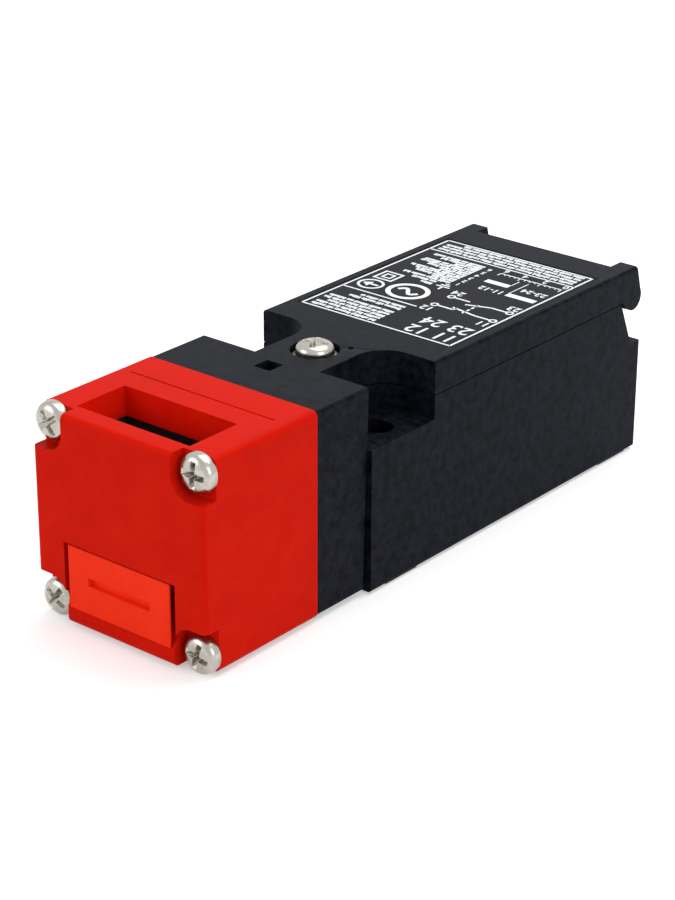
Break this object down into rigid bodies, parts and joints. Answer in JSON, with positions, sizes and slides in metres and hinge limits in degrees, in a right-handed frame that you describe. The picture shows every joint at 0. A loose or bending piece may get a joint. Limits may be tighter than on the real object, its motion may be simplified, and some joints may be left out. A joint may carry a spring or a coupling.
{
  "type": "tongue interlock switch",
  "caption": "Narrow guard-door safety switch with a keyed square head, a hinged cover over its contact block, two mounting slots and a threaded conduit end.",
  "frame": {"origin": "on the mounting face, midway between the two mounting slots", "axes": "+Y along the switch from the head towards the conduit end, +Z from the mounting face towards the cover, +X to the right when the switch is seen from its head"},
  "size_m": [0.0308, 0.0971, 0.0312],
  "materials": {
    "head_plastic": "satin moulded",
    "plug_plastic": "satin moulded",
    "case_plastic": "fine moulded grain",
    "cover_plastic": "fine moulded grain",
    "label_film": "printed film",
    "screw_steel": "nickel plated",
    "carrier_plastic": "satin moulded",
    "cam_plastic": "satin moulded",
    "pin_steel": "turned",
    "seal_rubber": "matte",
    "bush_plastic": "satin moulded",
    "spring_steel": "drawn wire",
    "base_plastic": "satin moulded",
    "slider_plastic": "satin moulded",
    "contact_brass": "stamped",
    "terminal_steel": "zinc plated"
  },
  "bodies": {
    "housing": {"case_flange": "case_plastic", "case": "case_plastic", "case_end": "case_plastic", "head_housing": "head_plastic", "key_guides": "carrier_plastic", "head_screws": "screw_steel", "head_gasket": "seal_rubber", "cam_frame": "carrier_plastic", "cam_axle": "pin_steel", "plunger_bush": "bush_plastic", "contact_base": "base_plastic", "contact_lid": "base_plastic", "nc_fixed_contacts": "contact_brass", "no_fixed_contacts": "contact_brass", "terminal_screws": "terminal_steel", "block_screws": "terminal_steel", "earth_plate": "contact_brass", "earth_screw": "terminal_steel"},
    "lid": {"cover": "cover_plastic", "cover_gasket": "seal_rubber", "label_plate": "label_film"},
    "screw_carrier": {"cover_screw_washer": "screw_steel"},
    "screw": {"cover_screw": "screw_steel"},
    "plug": {"key_hole_plug": "plug_plastic"},
    "rotor": {"cam": "cam_plastic"},
    "pusher": {"plunger": "pin_steel"},
    "contact_carriage": {"contact_slider": "slider_plastic", "nc_bridge": "contact_brass", "no_bridge": "contact_brass", "nc_bridge_spring": "spring_steel", "no_bridge_spring": "spring_steel", "slider_spring": "spring_steel"}
  },
  "joints": [
    {"name": "cover_hinge", "type": "hinge", "parent": "housing", "child": "lid", "pos_m": [0, 0.0554, 0.0253], "axis": [-1, 0, 0], "range_deg": [0, 100]},
    {"name": "cover_screw_lift", "type": "slide", "parent": "lid", "child": "screw_carrier", "axis": [0, 0, 1], "range_m": [0, 0.004]},
    {"name": "cover_screw_turn", "type": "hinge", "parent": "screw_carrier", "child": "screw", "pos_m": [0, -0.0002, 0.0292], "axis": [0, 0, 1], "range_deg": [0, 2880]},
    {"name": "plug_pull", "type": "slide", "parent": "housing", "child": "plug", "axis": [0, -1, 0], "range_m": [0, 0.012]},
    {"name": "cam_turn", "type": "hinge", "parent": "housing", "child": "rotor", "pos_m": [0, -0.024, 0.0156], "axis": [1, 0, 0], "range_deg": [0, 50]},
    {"name": "plunger_slide", "type": "slide", "parent": "housing", "child": "pusher", "axis": [0, -1, 0], "range_m": [0, 0.0024]},
    {"name": "contact_slide", "type": "slide", "parent": "housing", "child": "contact_carriage", "axis": [0, -1, 0], "range_m": [0, 0.0024], "deforming": ["slider_spring"]}
  ],
  "couplings": [
    {"joint": "cover_screw_turn", "follows": "cover_screw_lift", "rad_per_m": 12566},
    {"joint": "cam_turn", "follows": "plunger_slide", "rad_per_m": 363.6},
    {"joint": "contact_slide", "follows": "plunger_slide", "ratio": 1}
  ]
}
